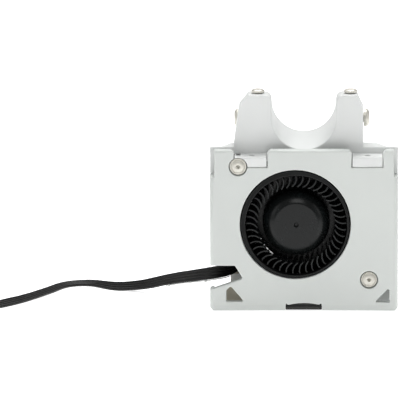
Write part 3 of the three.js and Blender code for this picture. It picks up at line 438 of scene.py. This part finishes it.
def catmull(points, step):
    P = [Vector(p) for p in points]
    P = [P[0] * 2 - P[1]] + P + [P[-1] * 2 - P[-2]]
    out = []
    for i in range(1, len(P) - 2):
        a, b, c, d = P[i - 1:i + 3]
        n = max(2, int(round((c - b).length / step)))
        for k in range(n):
            t = k / n
            out.append(0.5 * ((2 * b) + (c - a) * t + (2 * a - 5 * b + 4 * c - d) * t * t + (3 * b - a - 3 * c + d) * t ** 3))
    out.append(P[-2])
    return out


def lerp_table(table, x):
    if x >= table[0][0]:
        return table[0][1]
    for (x0, v0), (x1, v1) in zip(table, table[1:]):
        if x1 <= x <= x0:
            k = (x0 - x) / (x0 - x1)
            k = k * k * (3 - 2 * k)
            return v0 + (v1 - v0) * k
    return table[-1][1]


route = catmull(ROUTE, 0.9)
TILT = [(-20.7, 90), (-24.5, 84), (-34.6, 62), (-48, 54), (-61, 29), (-72, 11), (-77, 7.5), (-83, 4.5), (-88, 8), (-99, 17), (-104, 18), (-131, 90)]
bm = bmesh.new()
outline = []
for side in (1, -1):
    cores = (-1.5, -0.5, 0.5, 1.5) if side == 1 else (1.5, 0.5, -0.5, -1.5)
    for c in cores:
        for k in range(7):
            a = math.radians(158 - 136 * k / 6) if side == 1 else math.radians(-22 - 136 * k / 6)
            outline.append((c * 1.05 + CORE_R * math.cos(a), CORE_R * math.sin(a)))
loops, centre, wire = [], [], []
travelled = 0.0
for i, p in enumerate(route):
    q0, q1 = route[max(i - 1, 0)], route[min(i + 1, len(route) - 1)]
    if i:
        travelled += (p - route[i - 1]).length
    t = (q1 - q0).normalized()
    flat = Vector((t.y, -t.x, 0)).normalized()
    up = flat.cross(t).normalized()
    if up.z < 0:
        up = -up
    run_x = p.x if travelled < 152 else -999
    a = math.radians(lerp_table(TILT, run_x))
    w = flat * math.cos(a) + up * math.sin(a)
    n = (t.cross(w)).normalized()
    wob = 0.05 * math.sin(travelled * 0.31) + 0.03 * math.sin(travelled * 0.77 + 1)
    loops.append([at(*(p + w * x + n * (y + wob * 0.4))) for x, y in outline])
    centre.append(at(*p))
    if travelled < 60 and -46.0 < p.x < -24.6:
        low = w if w.z < 0 else -w
        wire.append((p + low * 2.36 + Vector((0, 0, 0.05 * math.sin(travelled * 0.9))), t))
rings(bm, loops)
ribbon = obj_from(bm, "ribbon", [M["cable"]], 60)
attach(ribbon, "carriage")
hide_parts("ribbon_cable", "ribbon_coil")

# the thin bare wire under the cable, with its two small knots
bm = bmesh.new()


def tube(points, radius):
    out = []
    for (p, t), r in zip(points, radius):
        u = t.cross(Vector((0, 0, 1))).normalized()
        v = u.cross(t).normalized()
        out.append([at(*(p + (u * math.cos(b) + v * math.sin(b)) * r)) for b in (2 * math.pi * j / 12 for j in range(12))])
    rings(bm, out)


tube(wire, [0.17 if 0 < i < len(wire) - 1 else 0.08 for i in range(len(wire))])
for kx in (-33.2, -45.2):
    p, t = min(wire, key=lambda q: abs(q[0].x - kx))
    tube([(p + t * (k * 0.13), t) for k in range(-4, 5)], [0.24 + 0.15 * math.cos(math.pi * k / 8) for k in range(-4, 5)])
stray = obj_from(bm, "stray_wire", [M["wire"]], 60)
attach(stray, "carriage")

# ties that hold the coil: flat loops round the bundle with a small head
coil_mid = at(-140, 30, 2.9)
for k, deg in enumerate((62, 205, 318)):
    a = math.radians(deg)
    radial = Vector((math.cos(a), math.sin(a), 0))
    along = Vector((-math.sin(a), math.cos(a), 0))
    bm = bmesh.new()
    r0, r1, z0, z1, th, wd = 22.2, 27.95, -2.45, 2.45, 0.4, 2.4
    path = []
    for cx, cz, a0 in ((r1 - 0.8, z1 - 0.8, 0), (r0 + 0.8, z1 - 0.8, 90), (r0 + 0.8, z0 + 0.8, 180), (r1 - 0.8, z0 + 0.8, 270)):
        for s in range(5):
            b = math.radians(a0 + 90 * s / 4)
            path.append((cx, cz, math.cos(b), math.sin(b)))
    secs = []
    for cx, cz, nx, nz in path:
        sec = []
        for off, wv in ((0.8, -wd / 2), (0.8 + th * 0.8, -wd / 2 + 0.1), (0.8 + th, -wd / 2 + 0.3), (0.8 + th, wd / 2 - 0.3), (0.8 + th * 0.8, wd / 2 - 0.1), (0.8, wd / 2)):
            sec.append(coil_mid + radial * ((cx + nx * off) * MM) + Vector((0, 0, (cz + nz * off) * MM)) + along * (wv * MM))
        secs.append([bm.verts.new(p) for p in sec])
    for i in range(len(secs)):
        A, B = secs[i], secs[(i + 1) % len(secs)]
        for j in range(6):
            bm.faces.new((A[j], A[(j + 1) % 6], B[(j + 1) % 6], B[j]))
    hp = coil_mid + radial * (24.9 * MM) + Vector((0, 0, 3.0 * MM))
    made = bmesh.ops.create_cube(bm, size=1.0)
    for vtx in made["verts"]:
        c = vtx.co.copy()
        vtx.co = hp + radial * (c.x * 3.4 * MM) + along * (c.y * 3.3 * MM) + Vector((0, 0, c.z * 1.5 * MM))
    cube_edges = list({e for vtx in made["verts"] for e in vtx.link_edges})
    bmesh.ops.bevel(bm, geom=cube_edges, offset=0.35 * MM, segments=3, profile=0.5, affect="EDGES", clamp_overlap=False)
    tie = obj_from(bm, "coil_tie_%d" % (k + 1), [M["tie"]])
    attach(tie, "carriage")

# connector at the cable's end: housing with four open contacts and a latch rib
plug = soften("cable_connector", [M["socket"]], width=0.3, seg=3)
plug_mid = node_mid("cable_connector")
mate = Vector((math.cos(math.radians(-45)), math.sin(math.radians(-45)), 0))
across = Vector((-mate.y, mate.x, 0))
bm = bmesh.new()
for k in range(4):
    c = plug_mid + across * ((k - 1.5) * 2.4 * MM) + mate * (0.9 * MM)
    made = bmesh.ops.create_cube(bm, size=1.0)
    for vtx in made["verts"]:
        q = vtx.co.copy()
        vtx.co = c + across * (q.x * 1.0 * MM) + mate * (q.y * 5.6 * MM) + Vector((0, 0, q.z * 1.0 * MM))
    bmesh.ops.bevel(bm, geom=list({e for vtx in made["verts"] for e in vtx.link_edges}), offset=0.15 * MM, segments=2, profile=0.5, affect="EDGES", clamp_overlap=False)
contacts = obj_from(bm, "connector_contacts", [M["pin"]])
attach(contacts, "carriage")


# -------------------------------------------------------------- white parts
def near(value, target, tol=0.05):
    return abs(value - target) < tol


def local(p):
    return p.x / MM, (p.y - FRONT) / MM, p.z / MM


def along_z(e):
    d = e.verts[1].co - e.verts[0].co
    return abs(d.z) > 0.95 * d.length


def mids(e):
    return local((e.verts[0].co + e.verts[1].co) / 2)


COVER_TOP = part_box("front_cover")[1].z / MM
W = (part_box("front_cover")[1].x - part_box("front_cover")[0].x) / 2 / MM
cover = soften("front_cover", [M["cover"]], width=0.28, seg=3, passes=[
    (lambda e: (along_z(e) and near(abs(mids(e)[0]), W) and near(mids(e)[1], 0))
     or (near(mids(e)[2], COVER_TOP) and near(mids(e)[1], 0)), 1.2, 6),
])

SAD_Z, SAD_R = 64.4, 10.75


def in_channel(e):
    x, d, z = mids(e)
    on = abs(math.hypot(x + 0.05, min(z - SAD_Z, 0)) - SAD_R) < 0.35 and z > 53.0
    top = z > SAD_Z and near(abs(x + 0.05), SAD_R, 0.15) or (z > 69.7 and abs(x) < 13.3)
    return (on or top) and (near(d, 6.0) or near(d, 14.3))


# faces of the walls behind the triangular windows take the painted-shade material (slot 1)
def shade_window_faces(f):
    x, d, z = local(f.calc_center_median())
    n = f.normal
    if z < 9.4 and 5.5 < d < 22 and 18.5 < abs(x) < 29.5 and z > 0.25:
        return 1
    return 0


carriage = soften("carriage_body", [M["body"], M["inside"]], width=0.22, seg=2, passes=[
    (in_channel, 0.55, 5),
], paint=shade_window_faces)
soften("rear_cover", [M["body"]], width=0.3, seg=3)
soften("hotend_clamp", [M["body"]], width=0.25, seg=3)

# the dark lip under the blower, seen through the notch in the cover's foot
bm = bmesh.new()
for x0, x1, d0, d1, z0, z1 in ((-6.15, 5.95, 1.15, 2.15, 0.1, 1.25), (-6.15, 5.95, 1.75, 2.3, 1.0, 2.3), (-6.15, 5.95, 1.35, 2.2, 2.1, 2.75)):
    made = bmesh.ops.create_cube(bm, size=1.0)
    for vtx in made["verts"]:
        q = vtx.co.copy()
        vtx.co = at((x0 + x1) / 2 + q.x * (x1 - x0), (d0 + d1) / 2 + q.y * (d1 - d0), (z0 + z1) / 2 + q.z * (z1 - z0))
    bmesh.ops.bevel(bm, geom=list({e for vtx in made["verts"] for e in vtx.link_edges}), offset=0.18 * MM, segments=2,
                    profile=0.5, affect="EDGES", clamp_overlap=False)
lip = obj_from(bm, "duct_lip", [M["duct"]])
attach(lip, "carriage")

# the body's edge over the upper screw's recess
bm = bmesh.new()
made = bmesh.ops.create_cube(bm, size=1.0)
for vtx in made["verts"]:
    q = vtx.co.copy()
    vtx.co = at(-21.95 + q.x * 2.3, 6.15 + q.y * 0.9, 52.02 + q.z * 1.45)
bmesh.ops.bevel(bm, geom=list(bm.edges), offset=0.1 * MM, segments=2, profile=0.5, affect="EDGES", clamp_overlap=False)
edge_piece = obj_from(bm, "recess_edge", [M["body"]])
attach(edge_piece, "carriage")

# -------------------------------------------------------------------- screws
screw("cover_screw_upper", "front", 2.42, 1.5, 1.5, "star", 0.78, M["nickel"], flange=2.74)
screw("cover_screw_lower", "front", 2.42, 1.5, 1.5, "star", 0.70, M["nickel"], flange=2.6)
screw("ear_side_screw_right", "right", 3.0, 1.9, 1.5, "hex", 1.25, M["nickel"], dome=0.1)
screw("ear_side_screw_left", "left", 3.0, 1.9, 1.5, "hex", 1.25, M["nickel"], dome=0.1)
screw("ear_top_screw_left", "up", 2.2, 1.15, 1.0, "star", 0.8, M["nickel"])
screw("ear_top_screw_right", "up", 2.2, 1.15, 1.0, "star", 0.8, M["nickel"])
for n in ("board_screw_front", "board_screw_back"):
    screw(n, "right", 2.0, 1.1, 1.0, "cross", 0.9, M["nickel"])
for n in ("clamp_screw_left", "clamp_screw_right"):
    screw(n, "back", 2.6, 1.9, 1.3, "hex", 1.15, M["darksteel"], dome=0.1)
for side in ("lower_left", "lower_right", "upper_left", "upper_right"):
    screw("rear_cover_screw_" + side, "back", 2.6, 1.6, 1.3, "hex", 1.15, M["darksteel"], dome=0.1)
    screw("rear_fan_screw_" + side, "back", 2.6, 1.5, 1.15, "cross", 1.35, M["darksteel"])

# -------------------------------------------------------------------- blower
imp = node_mid("impeller")
FX, FZ = imp.x / MM, imp.z / MM
soften("blower_casing", [M["fan"]], width=0.18, seg=2)
soften("blower_back_plate", [M["fan"]], width=0.18, seg=2)


def to_fan(x, y, d):
    return at(FX + x, d, FZ + y)


bm = bmesh.new()
hub = [(0, 2.15), (0.42, 2.12), (0.62, 1.95), (0.80, 1.53), (0.98, 1.43), (7.05, 1.45), (7.35, 1.50), (7.7, 1.66), (8.6, 2.15), (9.5, 2.95), (10.3, 4.1),
       (10.85, 5.3), (11.2, 6.8), (11.2, 13.4), (17.1, 13.4), (17.2, 13.55), (17.2, 14.4), (17.1, 14.5), (8.6, 14.5), (8.6, 3.9),
       (8.3, 3.6), (2.3, 3.6), (2.3, 6.4), (1.3, 6.4), (1.3, 3.6), (0, 3.6)]
rings(bm, lathe(hub, 112, to_fan))
LINE = [(0, 6.6), (0.07, 5.1), (0.16, 3.6), (0.26, 2.3), (0.38, 1.25), (0.5, 0.6), (0.64, 0.2), (0.78, 0.05), (0.9, 0.3), (1, 0.8)]
for k in range(45):
    base = 2 * math.pi * k / 45 + math.radians(1.8)
    mid = []
    for u, a in LINE:
        r = 12.95 + 3.65 * u
        mid.append(Vector((r * math.cos(base + math.radians(a)), r * math.sin(base + math.radians(a)))))
    left, right = [], []
    for i, p in enumerate(mid):
        t = (mid[min(i + 1, len(mid) - 1)] - mid[max(i - 1, 0)]).normalized()
        n = Vector((-t.y, t.x))
        th = 0.25 * (0.55 if i in (0, len(mid) - 1) else 1.0)
        left.append(p + n * th)
        right.append(p - n * th)
    ringpts = left + right[::-1]
    inset = [(mid[i if i < len(mid) else 2 * len(mid) - 1 - i]) * 0.3 + q * 0.7 for i, q in enumerate(ringpts)]
    rings(bm, [[to_fan(q.x, q.y, 1.5) for q in inset],
               [to_fan(q.x, q.y, 1.62) for q in ringpts],
               [to_fan(q.x, q.y, 13.6) for q in ringpts]])
impeller = obj_from(bm, "impeller_finish", [M["impeller"]], 34)
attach(impeller, body_of("impeller"))
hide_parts("impeller")

# painted highlight: small white slivers on the rotor at the hub's lower left, standing for the bright glints seen
# between the blade roots
bm = bmesh.new()
for a0, a1, r, wd in ((127.5, 135.0, 12.72, 0.26), (137.0, 142.0, 12.72, 0.24), (145.5, 147.5, 12.75, 0.2), (156.4, 157.8, 12.75, 0.2)):
    loops = []
    for i in range(9):
        a = -math.radians(a0 + (a1 - a0) * i / 8)
        k = max(0.12, math.sin(math.pi * i / 8)) ** 0.5
        loops.append([to_fan((r + dx * wd * k) * math.cos(a), (r + dx * wd * k) * math.sin(a), 3.0 + dz * 0.45 * k)
                      for dx, dz in ((math.cos(b), math.sin(b)) for b in (2 * math.pi * j / 10 for j in range(10)))])
    rings(bm, loops)
flecks = obj_from(bm, "painted_glints", [M["grease"]], 60)
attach(flecks, body_of("impeller"))

# ------------------------------------------------------- the remaining parts
REST = {
    "air_duct": ("duct", "duct_plastic", 0.25), "rear_fan_frame": ("fan", "fan_plastic", 0.2), "rear_fan_rotor": ("impeller", "impeller_plastic", 0.12),
    "blower_shaft": ("shaft", "shaft_steel", 0.1), "rear_fan_shaft": ("shaft", "shaft_steel", 0.1), "blower_bearing": ("bronze", "bronze", 0.1),
    "blower_coil": ("copper", "copper_winding", 0.25), "rear_fan_coil": ("copper", "copper_winding", 0.2), "blower_circuit_board": ("pcb", "circuit_board", 0.08),
    "heatsink": ("alu", "bare_aluminium", 0.12), "heat_break": ("shaft", "shaft_steel", 0.08), "heater_block": ("alu", "bare_aluminium", 0.3),
    "heater_cartridge": ("shaft", "shaft_steel", 0.12), "thermistor": ("shaft", "shaft_steel", 0.1), "silicone_sock": ("silicone", "silicone", 0.3),
    "nozzle": ("brass", "brass", 0.08), "coupler_body": ("brass", "brass", 0.15), "coupler_collet": ("collet", "collet_plastic", 0.15),
    "filament_liner": ("liner", "white_liner", 0.1), "cable_board": ("pcb", "circuit_board", 0.1), "cable_socket": ("socket", "connector_plastic", 0.15),
}
for node, (mat, slot, width) in REST.items():
    soften(node, [M[mat]], width=width, seg=2, body=body_of(node))

# ------------------------------------------------------------- stage, lights
world = bpy.data.worlds.new("world")
scene.world = world
world.use_nodes = True
world.node_tree.nodes["Background"].inputs[0].default_value = (1, 1, 1, 1)
world.node_tree.nodes["Background"].inputs[1].default_value = 0.24
me = bpy.data.meshes.new("floor")
s = 4.0
me.from_pydata([(-s, -s, -0.00005), (s, -s, -0.00005), (s, s, -0.00005), (-s, s, -0.00005)], [], [(0, 1, 2, 3)])
floor = bpy.data.objects.new("floor", me)
scene.collection.objects.link(floor)
fm = bpy.data.materials.new("floor")
fm.use_nodes = True
fp = fm.node_tree.nodes["Principled BSDF"]
fp.inputs["Base Color"].default_value = (0.93, 0.93, 0.93, 1)
fp.inputs["Roughness"].default_value = 0.9
fp.inputs["Specular IOR Level"].default_value = 0.1
fp.inputs["Emission Color"].default_value = (1, 1, 1, 1)
fp.inputs["Emission Strength"].default_value = 0.62
me.materials.append(fm)


def area(name, loc, target, size, power, size_y=None):
    d = bpy.data.lights.new(name, "AREA")
    d.energy = power
    d.size = size
    if size_y:
        d.shape = "RECTANGLE"
        d.size_y = size_y
    o = bpy.data.objects.new(name, d)
    scene.collection.objects.link(o)
    o.location = loc
    o.rotation_euler = (Vector(target) - Vector(loc)).to_track_quat("-Z", "Y").to_euler()
    return o


area("top", (0.0, 0.30, 1.0), (0, 0, 0.03), 0.8, 10.5)
area("front_top", (0.05, -0.78, 0.95), (0, 0, 0.03), 0.5, 2.15)
area("side_left", (-1.0, -0.35, 0.45), (0, 0, 0.03), 0.6, 1.1)
area("side_right", (1.0, -0.25, 0.45), (0, 0, 0.03), 0.6, 1.1)
scene.view_settings.view_transform = "Standard"
scene.view_settings.look = "None"
scene.view_settings.exposure = 0.0
scene.view_settings.gamma = 1.0
